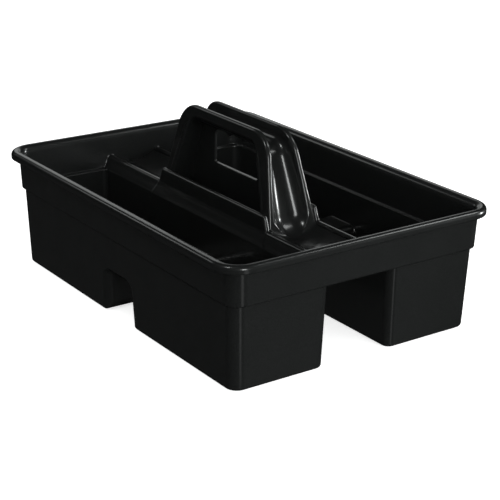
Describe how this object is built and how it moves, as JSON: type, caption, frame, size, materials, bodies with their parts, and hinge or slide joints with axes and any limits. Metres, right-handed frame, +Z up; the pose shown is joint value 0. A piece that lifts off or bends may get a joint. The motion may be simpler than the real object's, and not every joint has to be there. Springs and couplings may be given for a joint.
{
  "type": "cleaning caddy",
  "caption": "Open plastic cleaning caddy: a rectangular tub split into wells by a raised bridge with a trough-shaped arch handle, rolled rim, tunnel and notched feet.",
  "frame": {"origin": "centre of the base, on the surface that the caddy stands on", "axes": "+X along the bridge and the long sides, +Y across the two wells, +Z up"},
  "size_m": [0.4064, 0.2916, 0.1768],
  "materials": {
    "tub": "black moulded plastic, satin to semi-gloss, fine surface waviness",
    "handle": "black moulded plastic, semi-gloss, glossier on the rounded edges",
    "screws": "zinc-plated steel"
  },
  "bodies": {
    "root": {"tub": "tub", "handle": "handle", "handle_screw_1": "screws", "handle_screw_2": "screws", "handle_screw_3": "screws", "handle_screw_4": "screws"}
  },
  "joints": []
}
